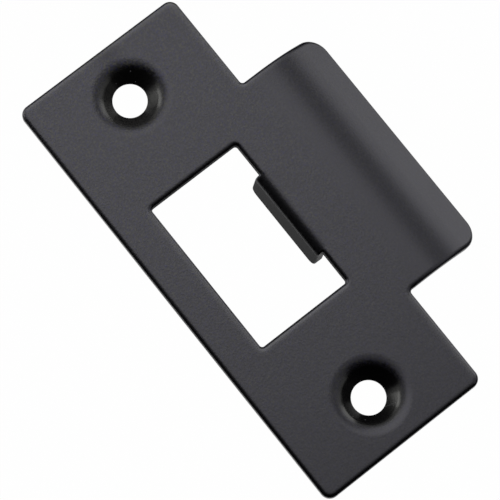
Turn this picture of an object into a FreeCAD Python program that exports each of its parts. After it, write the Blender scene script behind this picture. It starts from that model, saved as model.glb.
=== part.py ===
import FreeCAD, Part
import math
import os
import Sketcher

# A strike plate for a tubular door latch, folded from one steel sheet.
# X runs along the plate, Y towards the lip, Z out of the visible face.
# The origin is midway between the two screw holes, on the back face. Sizes are in millimetres and degrees.

os.makedirs("parts", exist_ok=True)
doc = FreeCAD.newDocument("strike_plate")

sizes = doc.addObject("Spreadsheet::Sheet", "sizes")
chosen_sizes = [
    # flat plate
    ("sheet_thickness", "1.6"),
    ("plate_length", "70"),
    ("plate_width", "27.5"),
    ("plate_corner", "1.45"),
    ("front_rounding", "0.65"),
    ("back_bevel", "0.2"),
    # lip that leads the latch bolt onto the plate
    ("lip_width", "37.8"),
    ("lip_reach", "13.6"),
    ("lip_flat", "2.95"),
    ("lip_bend_radius", "14.6"),
    ("lip_angle", "30"),
    ("lip_corner", "3"),
    ("lip_root_corner", "0.5"),
    # latch opening
    ("opening_length", "25"),
    ("opening_width", "15.2"),
    ("opening_corner", "0.45"),
    # tongue folded down behind the lip side of the opening
    ("tongue_width", "14.2"),
    ("tongue_setback", "1"),
    ("tongue_inner_radius", "0.3"),
    ("tongue_lean", "4"),
    ("tongue_depth", "5.2"),
    ("tongue_corner", "1.2"),
    ("tongue_rounding", "0.3"),
    # pressed countersinks of the two screw holes
    ("screw_spacing", "54"),
    ("screw_hole_diameter", "5"),
    ("screw_hole_land", "0.35"),
    ("sink_diameter", "9.9"),
    ("sink_half_angle", "50"),
    ("sink_rounding", "3.2"),
    ("sink_wall", "1.2"),
    ("sink_boss_blend", "1.4"),
    # how far the lip and the tongue are sunk into the plate that they grow from
    ("root_overlap", "2"),
]
worked_out_sizes = [
    ("half_length", "=plate_length / 2"),
    ("half_width", "=plate_width / 2"),
    ("half_sheet", "=sheet_thickness / 2"),
    ("cut_depth", "=plate_width"),
    # section of the lip, front face first
    ("lip_root", "=half_width - root_overlap"),
    ("lip_start", "=half_width + lip_flat"),
    ("lip_tip", "=half_width + lip_reach"),
    ("lip_back_radius", "=lip_bend_radius - sheet_thickness"),
    ("lip_slope_start", "=lip_start + lip_bend_radius * sin(lip_angle)"),
    ("lip_slope_start_height", "=sheet_thickness - lip_bend_radius * (1 - cos(lip_angle))"),
    ("lip_tip_height", "=lip_slope_start_height - (lip_tip - lip_slope_start) * tan(lip_angle)"),
    ("lip_back_slope_start", "=lip_slope_start - sheet_thickness * sin(lip_angle)"),
    ("lip_back_slope_start_height", "=lip_slope_start_height - sheet_thickness * cos(lip_angle)"),
    ("lip_back_tip", "=lip_tip - sheet_thickness * sin(lip_angle)"),
    ("lip_back_tip_height", "=lip_tip_height - sheet_thickness * cos(lip_angle)"),
    # latch opening and the slot in its lip side that the tongue fills
    ("half_opening_length", "=opening_length / 2"),
    ("half_opening_width", "=opening_width / 2"),
    ("half_tongue_slot", "=tongue_width / 2 - tongue_rounding"),
    ("tongue_slot_start", "=half_opening_width - front_rounding"),
    # section of the tongue, front face first
    ("tongue_root", "=tongue_start + root_overlap"),
    ("tongue_start", "=half_opening_width + tongue_setback"),
    ("tongue_front_radius", "=tongue_inner_radius + sheet_thickness"),
    ("tongue_face_start", "=tongue_start - tongue_front_radius * cos(tongue_lean)"),
    ("tongue_face_start_height", "=sheet_thickness - tongue_front_radius * (1 - sin(tongue_lean))"),
    ("tongue_tip", "=tongue_face_start - (tongue_face_start_height + tongue_depth) * tan(tongue_lean)"),
    ("tongue_back_start", "=tongue_face_start + sheet_thickness * cos(tongue_lean)"),
    ("tongue_back_start_height", "=tongue_face_start_height - sheet_thickness * sin(tongue_lean)"),
    ("tongue_back_tip", "=tongue_tip + sheet_thickness / cos(tongue_lean)"),
    # section of a countersink: cone, rounded rim and hole
    ("hole_radius", "=screw_hole_diameter / 2"),
    ("sink_radius", "=sink_diameter / 2"),
    ("sink_throat_height", "=sheet_thickness - (sink_radius - hole_radius) / tan(sink_half_angle)"),
    ("sink_rim_tangent", "=sink_rounding * tan((90 - sink_half_angle) / 2)"),
    ("sink_rim_outer", "=sink_radius + sink_rim_tangent"),
    ("sink_rim_inner", "=sink_radius - sink_rim_tangent * sin(sink_half_angle)"),
    ("sink_rim_inner_height", "=sheet_thickness - sink_rim_tangent * cos(sink_half_angle)"),
    # section of the boss that the countersink raises on the back, down to the end of the short straight hole
    ("sink_boss_height", "=screw_hole_land - sink_throat_height"),
    ("boss_base", "=sink_radius - sheet_thickness * tan(sink_half_angle) + sink_wall / cos(sink_half_angle)"),
    ("boss_end", "=boss_base - sink_boss_height * tan(sink_half_angle)"),
    ("boss_tangent", "=sink_boss_blend * tan((90 - sink_half_angle) / 2)"),
    ("boss_blend_outer", "=boss_base + boss_tangent"),
    ("boss_blend_inner", "=boss_base - boss_tangent * sin(sink_half_angle)"),
    ("boss_blend_depth", "=boss_tangent * cos(sink_half_angle)"),
]
for row, (alias, content) in enumerate(chosen_sizes + worked_out_sizes, start=1):
    sizes.set("A%d" % row, alias)
    sizes.set("B%d" % row, content)
    sizes.setAlias("B%d" % row, alias)
doc.recompute()


def size(alias):
    return float(getattr(sizes, alias))


def signed_size(text):
    # A corner coordinate is the name of a size, with a minus sign where it lies on the negative side.
    if text.startswith("-"):
        return -size(text[1:]), "-sizes." + text[1:]
    return size(text), "sizes." + text


def place_point(sketch, edge, end, across, up):
    # Ties one end of a sketch edge to its two named coordinates; a 0 puts it on the axis.
    for kind, coordinate, axis in (("DistanceX", across, -2), ("DistanceY", up, -1)):
        if coordinate == "0":
            sketch.addConstraint(Sketcher.Constraint("PointOnObject", edge, end, axis))
            continue
        value, expression = signed_size(coordinate)
        index = sketch.addConstraint(Sketcher.Constraint(kind, -1, 1, edge, end, value))
        sketch.setExpression("Constraints[%d]" % index, expression)


def arc_between(first, last, radius, side):
    # The shorter arc between two points; side is 1 where the centre lies left of the way from first to last.
    chord = last - first
    reach = math.sqrt(max(radius * radius - chord.Length * chord.Length / 4, 0))
    centre = (first + last) * 0.5 + FreeCAD.Vector(-chord.y, chord.x, 0).normalize() * (side * reach)
    start, stop = (first, last) if side > 0 else (last, first)
    start_angle = math.atan2(start.y - centre.y, start.x - centre.x)
    stop_angle = math.atan2(stop.y - centre.y, stop.x - centre.x)
    circle = Part.Circle(centre, FreeCAD.Vector(0, 0, 1), radius)
    return Part.ArcOfCircle(circle, start_angle, stop_angle)


def closed_outline(body, name, plane_role, corners, arcs=None):
    # A closed sketch through named corners. arcs gives, for the edge that leaves a corner, its radius and side.
    arcs = arcs or {}
    sketch = body.newObject("Sketcher::SketchObject", name)
    plane = [item for item in body.Origin.OriginFeatures if item.Role == plane_role][0]
    sketch.AttachmentSupport = [(plane, "")]
    sketch.MapMode = "FlatFace"
    points = []
    for across, up in corners:
        x = 0.0 if across == "0" else signed_size(across)[0]
        y = 0.0 if up == "0" else signed_size(up)[0]
        points.append(FreeCAD.Vector(x, y, 0))
    ends = []
    for index, point in enumerate(points):
        following = points[(index + 1) % len(points)]
        if index in arcs:
            radius, side = arcs[index]
            edge = sketch.addGeometry(arc_between(point, following, size(radius), side))
            ends.append((1, 2) if side > 0 else (2, 1))
            bound = sketch.addConstraint(Sketcher.Constraint("Radius", edge, size(radius)))
            sketch.setExpression("Constraints[%d]" % bound, "sizes." + radius)
        else:
            sketch.addGeometry(Part.LineSegment(point, following))
            ends.append((1, 2))
    for index, (across, up) in enumerate(corners):
        following = (index + 1) % len(points)
        sketch.addConstraint(
            Sketcher.Constraint("Coincident", index, ends[index][1], following, ends[following][0])
        )
        place_point(sketch, index, ends[index][0], across, up)
    doc.recompute()
    return sketch


def pad(body, sketch, name, length, symmetric):
    feature = body.newObject("PartDesign::Pad", name)
    feature.Profile = sketch
    feature.SideType = "Symmetric" if symmetric else "One side"
    feature.setExpression("Length", "sizes." + length)
    doc.recompute()
    return feature


def pocket_through(body, sketch, name):
    feature = body.newObject("PartDesign::Pocket", name)
    feature.Profile = sketch
    feature.SideType = "Symmetric"
    feature.setExpression("Length", "sizes.cut_depth")
    doc.recompute()
    return feature


def turn_angle(shape, edge):
    # Angle between the two faces at the middle of an edge: 0 where they run on smoothly.
    faces = shape.ancestorsOfType(edge, Part.Face)
    if len(faces) < 2:
        return 0.0
    middle = edge.valueAt((edge.FirstParameter + edge.LastParameter) / 2)
    normals = [face.normalAt(*face.Surface.parameter(middle)) for face in faces]
    return math.degrees(normals[0].getAngle(normals[1]))


def samples_of(edge):
    span = edge.LastParameter - edge.FirstParameter
    return [edge.valueAt(edge.FirstParameter + span * share) for share in (0, 0.3, 0.7, 1)]


def dress_edges(body, name, kind, amount, alias, wanted):
    # Works every sharp edge whose sample points all pass the test.
    base = body.Tip
    shape = base.Shape
    picked = []
    for index, edge in enumerate(shape.Edges, start=1):
        if turn_angle(shape, edge) > 20 and all(wanted(point) for point in samples_of(edge)):
            picked.append("Edge%d" % index)
    if not picked:
        raise RuntimeError(name + " found no edge")
    feature = body.newObject(kind, name)
    feature.Base = (base, picked)
    feature.setExpression(amount, "sizes." + alias)
    doc.recompute()
    return feature


def round_edges(body, name, radius, wanted):
    return dress_edges(body, name, "PartDesign::Fillet", "Radius", radius, wanted)


def bevel_edges(body, name, width, wanted):
    return dress_edges(body, name, "PartDesign::Chamfer", "Size", width, wanted)


def near(first, second):
    return abs(first - second) < 1e-4


def front_height(y):
    # Height of the front skin over the plate, the lip's bend and the lip's slope.
    if y <= size("lip_start"):
        return size("sheet_thickness")
    if y <= size("lip_slope_start"):
        radius = size("lip_bend_radius")
        return size("sheet_thickness") - radius + math.sqrt(radius ** 2 - (y - size("lip_start")) ** 2)
    return size("lip_slope_start_height") - (y - size("lip_slope_start")) * math.tan(math.radians(size("lip_angle")))


def back_height(y):
    # The same for the back skin.
    if y <= size("lip_start"):
        return 0.0
    if y <= size("lip_back_slope_start"):
        radius = size("lip_back_radius")
        return -radius + math.sqrt(radius ** 2 - (y - size("lip_start")) ** 2)
    drop = (y - size("lip_back_slope_start")) * math.tan(math.radians(size("lip_angle")))
    return size("lip_back_slope_start_height") - drop


# flat plate with rounded corners

blank = doc.addObject("PartDesign::Body", "blank")
plate_outline = closed_outline(
    blank,
    "plate_outline",
    "XY_Plane",
    [
        ("-half_length", "-half_width"),
        ("half_length", "-half_width"),
        ("half_length", "half_width"),
        ("-half_length", "half_width"),
    ],
)
pad(blank, plate_outline, "plate", "sheet_thickness", symmetric=False)
round_edges(
    blank,
    "plate_corners",
    "plate_corner",
    lambda p: near(abs(p.x), size("half_length")) and near(abs(p.y), size("half_width")),
)

# lip: flat first, then an even bend and a short straight slope

lip_section = closed_outline(
    blank,
    "lip_section",
    "YZ_Plane",
    [
        ("lip_root", "0"),
        ("lip_start", "0"),
        ("lip_back_slope_start", "lip_back_slope_start_height"),
        ("lip_back_tip", "lip_back_tip_height"),
        ("lip_tip", "lip_tip_height"),
        ("lip_slope_start", "lip_slope_start_height"),
        ("lip_start", "sheet_thickness"),
        ("lip_root", "sheet_thickness"),
    ],
    {1: ("lip_back_radius", -1), 5: ("lip_bend_radius", 1)},
)
pad(blank, lip_section, "lip", "lip_width", symmetric=True)
half_lip = size("lip_width") / 2
round_edges(
    blank,
    "lip_root_corners",
    "lip_root_corner",
    lambda p: near(abs(p.x), half_lip) and near(p.y, size("half_width")),
)
round_edges(
    blank,
    "lip_corners",
    "lip_corner",
    lambda p: near(abs(p.x), half_lip) and p.y > size("lip_back_tip") - 1e-4,
)

# soft front edge left by blanking and coating, small bevel on the back edge

round_edges(blank, "front_edge", "front_rounding", lambda p: near(p.z, front_height(p.y)))
bevel_edges(blank, "back_edge", "back_bevel", lambda p: near(p.z, back_height(p.y)))

# latch opening

opening_outline = closed_outline(
    blank,
    "opening_outline",
    "XY_Plane",
    [
        ("-half_opening_length", "-half_opening_width"),
        ("half_opening_length", "-half_opening_width"),
        ("half_opening_length", "half_opening_width"),
        ("-half_opening_length", "half_opening_width"),
    ],
)
pocket_through(blank, opening_outline, "opening")


def beside_opening(point):
    return abs(point.x) < size("half_opening_length") + 1e-4 and abs(point.y) < size("half_opening_width") + 1e-4


round_edges(
    blank,
    "opening_corners",
    "opening_corner",
    lambda p: near(abs(p.x), size("half_opening_length")) and near(abs(p.y), size("half_opening_width")),
)
round_edges(
    blank,
    "opening_front_edge",
    "front_rounding",
    lambda p: beside_opening(p) and near(p.z, size("sheet_thickness")),
)
bevel_edges(blank, "opening_back_edge", "back_bevel", lambda p: beside_opening(p) and near(p.z, 0))

# slot that the root of the tongue fills

tongue_slot = closed_outline(
    blank,
    "tongue_slot_outline",
    "XY_Plane",
    [
        ("-half_tongue_slot", "tongue_slot_start"),
        ("half_tongue_slot", "tongue_slot_start"),
        ("half_tongue_slot", "tongue_start"),
        ("-half_tongue_slot", "tongue_start"),
    ],
)
pocket_through(blank, tongue_slot, "tongue_slot")

# pressed countersinks, each with the boss that it raises on the back

boss_section = closed_outline(
    blank,
    "boss_section",
    "XZ_Plane",
    [
        ("0", "half_sheet"),
        ("0", "-sink_boss_height"),
        ("boss_end", "-sink_boss_height"),
        ("boss_blend_inner", "-boss_blend_depth"),
        ("boss_blend_outer", "0"),
        ("boss_blend_outer", "half_sheet"),
    ],
    {3: ("sink_boss_blend", -1)},
)
boss_section.setExpression("AttachmentOffset.Base.x", "sizes.screw_spacing / 2")
boss = blank.newObject("PartDesign::Revolution", "boss")
boss.Profile = boss_section
boss.ReferenceAxis = (boss_section, ["V_Axis"])
boss.Angle = 360
doc.recompute()

sink_section = closed_outline(
    blank,
    "sink_section",
    "XZ_Plane",
    [
        ("0", "cut_depth"),
        ("0", "-cut_depth"),
        ("hole_radius", "-cut_depth"),
        ("hole_radius", "sink_throat_height"),
        ("sink_rim_inner", "sink_rim_inner_height"),
        ("sink_rim_outer", "sheet_thickness"),
        ("sink_rim_outer", "cut_depth"),
    ],
    {4: ("sink_rounding", -1)},
)
sink_section.setExpression("AttachmentOffset.Base.x", "sizes.screw_spacing / 2")
sink = blank.newObject("PartDesign::Groove", "sink")
sink.Profile = sink_section
sink.ReferenceAxis = (sink_section, ["V_Axis"])
sink.Angle = 360
doc.recompute()

second_sink = blank.newObject("PartDesign::Mirrored", "second_sink")
second_sink.Originals = [boss, sink]
mirror_plane = [item for item in blank.Origin.OriginFeatures if item.Role == "YZ_Plane"][0]
second_sink.MirrorPlane = (mirror_plane, [""])
blank.Tip = second_sink
doc.recompute()


def from_hole_axis(point):
    return math.hypot(abs(point.x) - size("screw_spacing") / 2, point.y)


def on_boss_end(point):
    distance = from_hole_axis(point)
    on_ring = near(distance, size("boss_end")) or near(distance, size("hole_radius"))
    return on_ring and near(point.z, -size("sink_boss_height"))


bevel_edges(blank, "boss_end_edges", "back_bevel", on_boss_end)

# tongue folded down behind the plate

tongue = doc.addObject("PartDesign::Body", "tongue")
tongue_section = closed_outline(
    tongue,
    "tongue_section",
    "YZ_Plane",
    [
        ("tongue_root", "0"),
        ("tongue_root", "sheet_thickness"),
        ("tongue_start", "sheet_thickness"),
        ("tongue_face_start", "tongue_face_start_height"),
        ("tongue_tip", "-tongue_depth"),
        ("tongue_back_tip", "-tongue_depth"),
        ("tongue_back_start", "tongue_back_start_height"),
        ("tongue_start", "0"),
    ],
    {2: ("tongue_front_radius", 1), 6: ("tongue_inner_radius", -1)},
)
pad(tongue, tongue_section, "folded_tongue", "tongue_width", symmetric=True)
half_tongue = size("tongue_width") / 2
round_edges(
    tongue,
    "tongue_corners",
    "tongue_corner",
    lambda p: near(abs(p.x), half_tongue) and near(p.z, -size("tongue_depth")),
)


def on_tongue_front(point):
    # The front face of the tongue: flat root, bend and leaning face.
    if point.y > size("tongue_start") - 1e-4:
        return near(point.z, size("sheet_thickness"))
    radius = size("tongue_front_radius")
    if point.z > size("tongue_face_start_height") - 1e-4:
        centre_height = size("sheet_thickness") - radius
        return near(math.hypot(point.y - size("tongue_start"), point.z - centre_height), radius)
    lean = math.tan(math.radians(size("tongue_lean")))
    return near(point.y, size("tongue_face_start") - (size("tongue_face_start_height") - point.z) * lean)


def on_tongue_back(point):
    # The back face of the tongue, in the same three parts.
    if point.y > size("tongue_start") - 1e-4:
        return near(point.z, 0)
    radius = size("tongue_inner_radius")
    if point.z > size("tongue_back_start_height") - 1e-4:
        return near(math.hypot(point.y - size("tongue_start"), point.z + radius), radius)
    lean = math.tan(math.radians(size("tongue_lean")))
    return near(point.y, size("tongue_back_start") - (size("tongue_back_start_height") - point.z) * lean)


round_edges(tongue, "tongue_front_edge", "tongue_rounding", on_tongue_front)
bevel_edges(tongue, "tongue_back_edge", "back_bevel", on_tongue_back)

# the two halves of the one sheet joined

strike_plate = doc.addObject("Part::MultiFuse", "strike_plate")
strike_plate.Label = "strike_plate"
strike_plate.Shapes = [blank, tongue]
strike_plate.Refine = True
doc.recompute()

for item in doc.Objects:
    if "Invalid" in item.State or "Error" in item.State:
        raise RuntimeError(item.Name + " did not build")
    if hasattr(item, "Shape") and (item.Shape.isNull() or not item.Shape.isValid()):
        raise RuntimeError(item.Name + " has a faulty shape")
if len(strike_plate.Shape.Solids) != 1:
    raise RuntimeError("the strike plate is not one solid")

strike_plate.Shape.exportStep("parts/strike_plate.step")
print("strike_plate", round(strike_plate.Shape.Volume, 2), "mm3")
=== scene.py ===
import math
import bpy
import numpy as np
from mathutils import Matrix, Vector


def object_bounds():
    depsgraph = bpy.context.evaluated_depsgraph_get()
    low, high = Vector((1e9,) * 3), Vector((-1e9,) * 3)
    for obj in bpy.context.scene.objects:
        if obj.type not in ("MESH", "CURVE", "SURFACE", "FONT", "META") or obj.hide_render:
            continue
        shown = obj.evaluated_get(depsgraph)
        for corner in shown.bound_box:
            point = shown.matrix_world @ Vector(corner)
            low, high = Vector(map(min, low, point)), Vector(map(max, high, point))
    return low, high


# A black coated strike plate for a door latch, on a white page.
# Everything is in metres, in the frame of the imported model:
# X along the plate, Y towards the lip, Z out of the face.

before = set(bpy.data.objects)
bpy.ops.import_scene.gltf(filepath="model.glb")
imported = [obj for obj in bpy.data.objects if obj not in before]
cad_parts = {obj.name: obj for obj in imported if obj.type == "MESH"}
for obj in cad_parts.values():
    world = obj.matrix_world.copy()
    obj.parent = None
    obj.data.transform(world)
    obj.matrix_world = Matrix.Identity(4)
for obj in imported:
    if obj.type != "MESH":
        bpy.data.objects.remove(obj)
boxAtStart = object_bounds()
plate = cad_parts["strike_plate"]
scene = bpy.context.scene
print("loaded the strike plate")


# shader sums

class Wire:
    # A shader socket. Sums, differences, products and quotients of wires add Math nodes.
    def __init__(self, sheet, socket):
        self.sheet = sheet
        self.socket = socket

    def maths(self, operation, first, second):
        return self.sheet.node("ShaderNodeMath", {"operation": operation}, {0: first, 1: second})["Value"]

    def __add__(self, other):
        return self.maths("ADD", self, other)

    def __radd__(self, other):
        return self.maths("ADD", other, self)

    def __sub__(self, other):
        return self.maths("SUBTRACT", self, other)

    def __rsub__(self, other):
        return self.maths("SUBTRACT", other, self)

    def __mul__(self, other):
        return self.maths("MULTIPLY", self, other)

    def __rmul__(self, other):
        return self.maths("MULTIPLY", other, self)

    def __truediv__(self, other):
        return self.maths("DIVIDE", self, other)

    def __pow__(self, other):
        return self.maths("POWER", self, other)

    def __neg__(self):
        return self.maths("MULTIPLY", self, -1)

    def __abs__(self):
        return self.maths("ABSOLUTE", self, 0)

    def sign(self):
        return self.maths("SIGN", self, 0)

    def isAbove(self, other):
        return self.maths("GREATER_THAN", self, other)

    def isBelow(self, other):
        return self.maths("LESS_THAN", self, other)

    def atMost(self, other):
        return self.maths("MINIMUM", self, other)

    def atLeast(self, other):
        return self.maths("MAXIMUM", self, other)

    def held(self):
        # kept between 0 and 1
        return self.atLeast(0).atMost(1)

    def spread(self, contrast):
        # a noise between 0 and 1, drawn apart from its middle
        return ((self - 0.5) * contrast + 0.5).held()


class NodeSheet:
    # The nodes of one material or world.
    def __init__(self, owner):
        owner.use_nodes = True
        self.tree = owner.node_tree
        self.tree.nodes.clear()

    def node(self, kind, settings=None, sockets=None):
        # Settings go in first, because they decide which sockets the node shows.
        made = self.tree.nodes.new(kind)
        for name, value in (settings or {}).items():
            setattr(made, name, value)
        for key, value in (sockets or {}).items():
            if isinstance(key, int):
                target = made.inputs[key]
            else:
                target = next(s for s in made.inputs if s.enabled and s.name == key)
            if isinstance(value, Wire):
                self.tree.links.new(value.socket, target)
            else:
                target.default_value = value
        return {s.name: Wire(self, s) for s in made.outputs if s.enabled}

    def noise(self, place, size, detail, roughness):
        return self.node(
            "ShaderNodeTexNoise",
            {"noise_dimensions": "3D"},
            {"Vector": place, "Scale": 1 / size, "Detail": detail, "Roughness": roughness},
        )["Fac"]

    def blend(self, factor, first, second, kind="RGBA"):
        return self.node(
            "ShaderNodeMix",
            {"data_type": kind},
            {"Factor": factor, "A": first, "B": second},
        )["Result"]

    def bump(self, height, depth, normal):
        return self.node(
            "ShaderNodeBump",
            {},
            {"Strength": 1, "Distance": depth, "Height": height, "Normal": normal},
        )["Normal"]

    def rounded(self, radius):
        # the surface's normal as if its edges were rounded off
        return self.node("ShaderNodeBevel", {"samples": 8}, {"Radius": radius})["Normal"]


# camera: straight down on the plate, a little tilted, as in the photograph

cameraSetup = {
    "azimuth": 41.793,      # degrees round the plate
    "elevation": 78.217,    # degrees above the plate
    "roll": 10.004,         # degrees
    "distance": 0.406322,
    "slide": (0.000228, -0.00037),  # across and up the picture
    "lens": 208.461,        # millimetres
    "sensor": 36,           # millimetres wide
}


def addCamera(setup):
    azimuth = math.radians(setup["azimuth"])
    elevation = math.radians(setup["elevation"])
    roll = math.radians(setup["roll"])
    backward = Vector((
        math.sin(azimuth) * math.cos(elevation),
        -math.cos(azimuth) * math.cos(elevation),
        math.sin(elevation),
    ))
    level = Vector((math.cos(azimuth), math.sin(azimuth), 0))
    upright = backward.cross(level)
    across = level * math.cos(roll) + upright * math.sin(roll)
    upward = upright * math.cos(roll) - level * math.sin(roll)
    slideAcross, slideUp = setup["slide"]
    place = backward * setup["distance"] + across * slideAcross + upward * slideUp
    camera = bpy.data.objects.new("camera", bpy.data.cameras.new("camera"))
    camera.data.lens = setup["lens"]
    camera.data.sensor_width = setup["sensor"]
    camera.data.clip_start = 0.01
    camera.data.clip_end = 20
    turn = Matrix((across, upward, backward)).transposed()
    camera.matrix_world = Matrix.Translation(place) @ turn.to_4x4()
    scene.collection.objects.link(camera)
    scene.camera = camera


addCamera(cameraSetup)
print("camera set")


# matt black powder coat, thinner and smoother in the two screw sinks, where its colour is painted darker
# as shade in the hollows

plateLook = {
    "coat": {
        "blueColour": (0.0027, 0.0027, 0.0227, 1),
        "greyColour": (0.0222, 0.0212, 0.009, 1),
        "patchSize": 0.00033,   # size of the bluer and greyer patches
        "patchContrast": 2.2,
        "pitColour": (0.0005, 0.0005, 0.0007, 1),  # in the hollows of the grain
        "grainSize": 0.0003,    # fine orange peel of the powder
        "grainContrast": 3.5,
        "grainDepth": 0.000019,
        "grainShare": (1.9, 0.5),  # how strong the grain is at the first end and at the other
        "lipShare": 0.4,        # and on the lip, as a share of that
        "waveSize": 0.0016,     # slow waviness under the grain
        "waveDepth": 0.0000018,
        "mottleSize": 0.004,    # slow unevenness of the roughness
        "roughness": 0.3,
        "roughnessSpread": 0.1,
        "gloss": 0.31,          # specular level, where 0.5 is bare plastic
        "glossTint": (0.925, 0.915, 1.0, 1),
        "lipStart": 0.0142,     # where the lip begins, across the plate
        "lipFade": 0.0025,
        "edgeSoftness": 0.0004,  # how far the coat rounds off the edges
        "edgeLightWidth": 0.0013,     # painted highlight along the edges towards the lip and the first end: its width
        "edgeLightStrength": 0.126,
        "lipEdgeLight": 0.5,          # a share of that, on the lip
        "edgeLightFade": 0.002,       # how far from a sink the painted highlight takes to come in
        "rubSlopes": (0.82, 0.92),  # height of the face's normal where the painted highlight starts and where it is full
        "edgeShadeSpeed": 2.1,     # how soon the edges that face the other way are painted darker, as shade
    },
    # the two screw sinks, as the coat shows them: a tighter rim and a straighter wall than the sheet's
    "sinks": {
        "screwAt": 0.027,       # the screw axes stand at plus and minus this along the plate
        "rimShift": 0.0002,     # the pressed rims stand a little towards the lip from the holes
        "rimRadius": 0.006,     # where the face begins to fall into a sink
        "wallRadius": 0.0038,   # where the sink's straight wall begins
        "wallTilt": 44,         # degrees
        "curve": 1.15,          # 1 falls evenly from rim to wall
        "zone": 0.0062,         # inside this the sink's own slopes are used, and no painted edge highlight
        "innerSinkRadius": 0.0048,   # inside this the coat is thinner and smoother, and its colour is painted darker as shade
        "innerSinkFade": 0.000667,
        # darker than the face: painted shade in the sinks' hollows, also used as the painted shade on the
        # edges
        "colour": (0.0011, 0.001, 0.0012, 1),
        "tint": (1.0, 1.0, 0.96, 1),
        "roughness": 0.22,
        "grainShare": 0.3,
        "paleColour": (0.013, 0.0125, 0.0125, 1),  # paler colour in the sink at the first end
        "paleRoughness": 0.08,  # roughness that it adds
        "paleShare": 0.55,      # its strength
        "paleLean": 0.3,        # how much stronger it is on the side away from the lip
        "paleContrast": 1.6,    # how far it follows the patches
    },
    # marks that the photograph shows; places are along and across the plate
    "marks": {
        "specks": [             # pale dust in the sinks: along, across, radius
            (-0.03014, 0.00252, 0.00011),
            (-0.02869, 0.00229, 0.00009),
            (-0.0301, -0.00009, 0.00009),
            (-0.02612, -0.00389, 0.0001),
            (-0.02578, -0.00412, 0.00008),
            (-0.02487, -0.00326, 0.00009),
            (0.02774, -0.0035, 0.00008),
            (0.02916, -0.00241, 0.00009),
        ],
        "speckColour": (0.09, 0.09, 0.095, 1),
        "speckStrength": 1.3,
        "scratch": ((0.02943, 0.00108), (0.02989, 0.00234)),
        "scratchWidth": 0.00007,
        "scratchStrength": 0.35,
        "scuff": (-0.0255, 0.0022, 0.0016),  # along, across, radius
        "scuffColour": (0.022, 0.022, 0.021, 1),
        "scuffRoughness": 0.15,
        "smudge": (-0.0335, 0.0012, 0.003),  # along, across, radius
        "smudgeRoughness": 0.12,
    },
}


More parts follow.
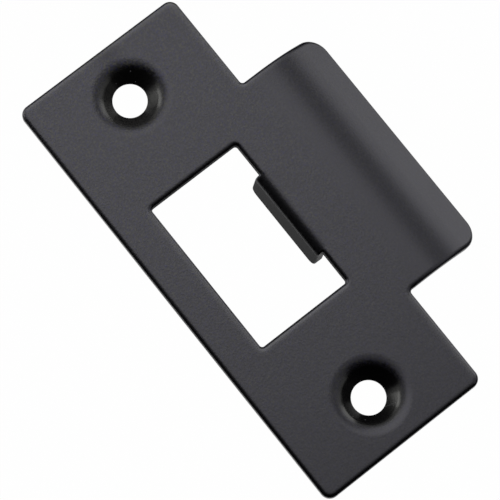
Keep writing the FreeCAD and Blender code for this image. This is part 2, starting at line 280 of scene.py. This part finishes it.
def coatMaterial(look):
    coat = look["coat"]
    sink = look["sinks"]
    marks = look["marks"]
    material = bpy.data.materials.new("black_coat_finish")
    sheet = NodeSheet(material)
    place = sheet.node("ShaderNodeTexCoord")["Object"]
    apart = sheet.node("ShaderNodeSeparateXYZ", {}, {"Vector": place})
    along = apart["X"]
    across = apart["Y"]
    facing = sheet.node("ShaderNodeNewGeometry")["Normal"]
    upright = sheet.node("ShaderNodeSeparateXYZ", {}, {"Vector": facing})["Z"]
    front = upright.isAbove(0.3)  # the face and its rounded edges, not the cut sides or the back

    def spot(x, y, radius):
        # 1 in the middle of a round mark on the front, 0 from its radius outward
        far = ((along - x) * (along - x) + (across - y) * (across - y)) ** 0.5
        return (1 - far / radius).atLeast(0) * front

    def stroke(start, end, width):
        # 1 on the line from start to end on the front, 0 from its width outward
        runX = end[0] - start[0]
        runY = end[1] - start[1]
        share = ((along - start[0]) * runX + (across - start[1]) * runY) / (runX * runX + runY * runY)
        reach = share.held()
        missX = along - start[0] - reach * runX
        missY = across - start[1] - reach * runY
        miss = (missX * missX + missY * missY) ** 0.5
        return (1 - miss / width).atLeast(0) * front

    # sinks: from the rim inward the surface leans over to the straight wall
    awayX = along - along.sign() * sink["screwAt"]
    awayY = across - sink["rimShift"]
    radius = (awayX * awayX + awayY * awayY) ** 0.5
    fall = ((sink["rimRadius"] - radius) / (sink["rimRadius"] - sink["wallRadius"])).held()
    lean = fall ** sink["curve"] * math.sin(math.radians(sink["wallTilt"]))
    sinkNormal = sheet.node("ShaderNodeCombineXYZ", {}, {
        "X": -(awayX / radius * lean),
        "Y": -(awayY / radius * lean),
        "Z": (1 - lean * lean) ** 0.5,
    })["Vector"]
    inSink = ((sink["innerSinkRadius"] - radius) / sink["innerSinkFade"]).held() * front
    fromHole = (awayX * awayX + across * across) ** 0.5
    nearSink = fromHole.isBelow(sink["zone"]) * front

    # grain, waviness, mottle and patches, with less grain towards the other end and on the lip
    grain = sheet.noise(place, coat["grainSize"], 2, 0.5)
    wave = sheet.noise(place, coat["waveSize"], 1, 0.5)
    mottle = sheet.noise(place, coat["mottleSize"], 3, 0.6)
    patches = sheet.noise(place, coat["patchSize"], 2, 0.6)
    plateEnd = boxAtStart[1][0]
    runs = (along / plateEnd * 0.5 + 0.5).held()
    strong, faint = coat["grainShare"]
    onLip = ((across - coat["lipStart"]) / coat["lipFade"]).held()
    share = (strong + runs * (faint - strong)) * (1 - onLip * (1 - coat["lipShare"]))

    # colour of the face, and of the sinks, whose darker colour is painted shade in the hollows
    patchTone = patches.spread(share * coat["patchContrast"])
    grainTone = grain.spread(share * coat["grainContrast"])
    patchy = sheet.blend(patchTone, coat["blueColour"], coat["greyColour"])
    faceColour = sheet.blend(grainTone, coat["pitColour"], patchy)
    lowSide = (awayX - awayY) / radius
    paleAmount = lowSide * sink["paleLean"] + sink["paleShare"]
    paleLayer = (along.isBelow(0) * paleAmount * (patches * sink["paleContrast"]).held()).held()
    paleSinkColour = sheet.blend(paleLayer, sink["colour"], sink["paleColour"])
    # inside the sinks the darker colour is used: painted shade in the hollow
    coatColour = sheet.blend(inSink, faceColour, paleSinkColour)

    # marks
    dust = sum(spot(*speck) for speck in marks["specks"]) * marks["speckStrength"]
    scratch = stroke(*marks["scratch"], marks["scratchWidth"]) * marks["scratchStrength"]
    scuff = (spot(*marks["scuff"]) * (patches * 2 - 0.3).held() * 1.5).held()  # worn through in patches
    smudge = spot(*marks["smudge"])
    scuffed = sheet.blend(scuff, coatColour, marks["scuffColour"])
    marked = sheet.blend((dust + scratch).held(), scuffed, marks["speckColour"])

    # painted light and shade on the edges: those towards the lip and the first end are painted paler as a
    # highlight, the opposite ones are painted darker as shade
    side = sheet.node("ShaderNodeSeparateXYZ", {}, {"Vector": sheet.rounded(coat["edgeLightWidth"])})
    turned = side["Y"] * (1 - onLip) - side["X"]
    steep, flat = coat["rubSlopes"]
    level = ((upright - steep) / (flat - steep)).held()
    clear = ((fromHole - sink["zone"]) / coat["edgeLightFade"]).held()
    lipEdgeLight = 1 - onLip * (1 - coat["lipEdgeLight"])
    rub = (turned.atLeast(0) * level * clear * lipEdgeLight * coat["edgeLightStrength"]).held()
    # painted shade: the edges that face away from the lip and the first end get the dark sink colour
    paintedEdgeShade = (turned * -coat["edgeShadeSpeed"]).held() * (1 - nearSink) * (1 - onLip)
    # white blended in: painted highlight on the edges that face the light
    edgeLitColour = sheet.blend(rub, marked, (1, 1, 1, 1))
    colour = sheet.blend(paintedEdgeShade, edgeLitColour, sink["colour"])

    # roughness
    uneven = (grain * 0.6 + mottle * 0.4 - 0.5) * coat["roughnessSpread"]  # 0 in the middle of both noises
    inside = inSink * (sink["roughness"] - coat["roughness"] + paleLayer * sink["paleRoughness"])
    worn = smudge * marks["smudgeRoughness"] + scuff * marks["scuffRoughness"]
    roughness = coat["roughness"] + uneven + inside + worn

    # slopes
    shaped = sheet.blend(nearSink, sheet.rounded(coat["edgeSoftness"]), sinkNormal, "VECTOR")
    wavy = sheet.bump(wave, coat["waveDepth"], shaped)
    grainHeight = grain * share * (1 - inSink * (1 - sink["grainShare"]))
    grainy = sheet.bump(grainHeight, coat["grainDepth"], wavy)

    def layer(tint):
        return sheet.node(
            "ShaderNodeBsdfPrincipled",
            {},
            {
                "Base Color": colour,
                "Roughness": roughness,
                "Specular IOR Level": coat["gloss"],
                "Specular Tint": tint,
                "Normal": grainy,
            },
        )["BSDF"]

    surface = sheet.node(
        "ShaderNodeMixShader",
        {},
        {0: inSink, 1: layer(coat["glossTint"]), 2: layer(sink["tint"])},
    )["Shader"]
    sheet.node("ShaderNodeOutputMaterial", {}, {"Surface": surface})
    return material


finish = coatMaterial(plateLook)
for slot in plate.material_slots:
    slot.material = finish
print("coat on")


# white page: floor and world

pageSetup = {
    "floorHeight": -0.6,
    "floorHalfSize": 4,
    "floorColour": (0.9, 0.9, 0.9, 1),
    "whiteShare": 0.985,    # how far camera and mirror rays see plain white instead of the lit floor
    "roomLight": 0.25,      # how strongly the white room lights the plate
}


def seenWhite(sheet):
    rays = sheet.node("ShaderNodeLightPath")
    seen = rays["Is Camera Ray"].atLeast(rays["Is Glossy Ray"])
    return seen.atLeast(rays["Is Transmission Ray"])


def addFloor(setup):
    half = setup["floorHalfSize"]
    height = setup["floorHeight"]
    corners = [(-half, -half, height), (half, -half, height), (half, half, height), (-half, half, height)]
    mesh = bpy.data.meshes.new("floor")
    mesh.from_pydata(corners, [], [(0, 1, 2, 3)])
    floor = bpy.data.objects.new("floor", mesh)
    scene.collection.objects.link(floor)
    material = bpy.data.materials.new("pale_floor")
    sheet = NodeSheet(material)
    lit = sheet.node("ShaderNodeBsdfDiffuse", {}, {"Color": setup["floorColour"]})["BSDF"]
    white = sheet.node("ShaderNodeEmission", {}, {"Color": (1, 1, 1, 1), "Strength": 1})["Emission"]
    top = sheet.node(
        "ShaderNodeMixShader",
        {},
        {0: seenWhite(sheet) * setup["whiteShare"], 1: lit, 2: white},
    )["Shader"]
    clear = sheet.node("ShaderNodeBsdfTransparent")["BSDF"]
    below = sheet.node("ShaderNodeNewGeometry")["Backfacing"]  # the floor can be looked through from below
    whole = sheet.node("ShaderNodeMixShader", {}, {0: below, 1: top, 2: clear})["Shader"]
    sheet.node("ShaderNodeOutputMaterial", {}, {"Surface": whole})
    mesh.materials.append(material)


def addRoom(setup):
    world = bpy.data.worlds.new("white_room")
    scene.world = world
    sheet = NodeSheet(world)
    white = seenWhite(sheet)
    room = sheet.node(
        "ShaderNodeBackground",
        {},
        {"Color": (1, 1, 1, 1), "Strength": white + (1 - white) * setup["roomLight"]},
    )["Background"]
    sheet.node("ShaderNodeOutputWorld", {}, {"Surface": room})


addFloor(pageSetup)
addRoom(pageSetup)
print("page and room set")


# flags, which only the coat's reflections show: dark sides of the room, and a grey shade under the plate

flagSetup = {
    "cameraSide": {"azimuths": (247, 384), "zeniths": (24, 125), "radius": 0.9, "brightness": 0.0},
    "farSide": {"azimuths": (111, 180), "zeniths": (75, 125), "radius": 0.9, "brightness": 0.0},
    "lipLow": {"azimuths": (384, 433), "zeniths": (75, 125), "radius": 0.9, "brightness": 0.0},
    "underPlate": {"azimuths": (0, 360), "zeniths": (150, 180), "radius": 0.05, "brightness": 0.16},
}
flagRows = 33
flagColumns = 49


def addFlag(name, setup):
    # Part of a ball round the plate: radius times the direction at each azimuth and zenith angle.
    azimuths = np.radians(np.linspace(*setup["azimuths"], flagColumns))
    zeniths = np.radians(np.linspace(*setup["zeniths"], flagRows))
    turn, drop = np.meshgrid(azimuths, zeniths)
    points = np.stack([np.sin(drop) * np.cos(turn), np.sin(drop) * np.sin(turn), np.cos(drop)], axis=-1)
    points = (points * setup["radius"]).reshape(-1, 3)
    rowStarts = np.arange(flagRows - 1)[:, None] * flagColumns
    first = (rowStarts + np.arange(flagColumns - 1)[None, :]).ravel()
    faces = np.stack([first, first + 1, first + flagColumns + 1, first + flagColumns], axis=1)
    mesh = bpy.data.meshes.new(name)
    mesh.from_pydata(points.tolist(), [], faces.tolist())
    flag = bpy.data.objects.new(name, mesh)
    scene.collection.objects.link(flag)
    material = bpy.data.materials.new(name)
    sheet = NodeSheet(material)
    glow = sheet.node(
        "ShaderNodeEmission",
        {},
        {"Color": (1, 1, 1, 1), "Strength": setup["brightness"]},
    )["Emission"]
    sheet.node("ShaderNodeOutputMaterial", {}, {"Surface": glow})
    mesh.materials.append(material)
    flag.visible_camera = False
    flag.visible_shadow = False
    flag.visible_diffuse = False


for flagName, flagParts in flagSetup.items():
    addFlag(flagName, flagParts)
print("flags set")


# softboxes, by the direction they stand in from the plate and the angles they fill, in degrees

softboxes = {
    "overheadBox": {"azimuth": 162, "zenith": 30, "size": (51, 49), "brightness": 2.07},
    "lipSideBox": {"azimuth": 93, "zenith": 74, "size": (29, 36), "brightness": 2.35},
    "cornerBox": {"azimuth": 62, "zenith": 68, "size": (11, 49), "brightness": 0.4},
    "lowBox": {"azimuth": 216, "zenith": 78, "size": (34, 24), "brightness": 3.8},
    "coreBox": {"azimuth": 167, "zenith": 21, "size": (23, 35), "brightness": 0.5},
}
boxDistance = 0.6


def addSoftbox(name, setup):
    azimuth = math.radians(setup["azimuth"])
    zenith = math.radians(setup["zenith"])
    towards = Vector((
        math.sin(zenith) * math.cos(azimuth),
        math.sin(zenith) * math.sin(azimuth),
        math.cos(zenith),
    ))
    wide, high = setup["size"]
    light = bpy.data.lights.new(name, "AREA")
    light.shape = "RECTANGLE"
    light.size = 2 * boxDistance * math.tan(math.radians(wide / 2))
    light.size_y = 2 * boxDistance * math.tan(math.radians(high / 2))
    # watts that give the panel this brightness, where 1 is white
    light.energy = math.pi * light.size * light.size_y * setup["brightness"]
    box = bpy.data.objects.new(name, light)
    turn = towards.to_track_quat("Z", "Y").to_matrix().to_4x4()
    box.matrix_world = Matrix.Translation(towards * boxDistance) @ turn
    scene.collection.objects.link(box)


for boxName, boxParts in softboxes.items():
    addSoftbox(boxName, boxParts)
scene.view_settings.view_transform = "Standard"
print("lights set")
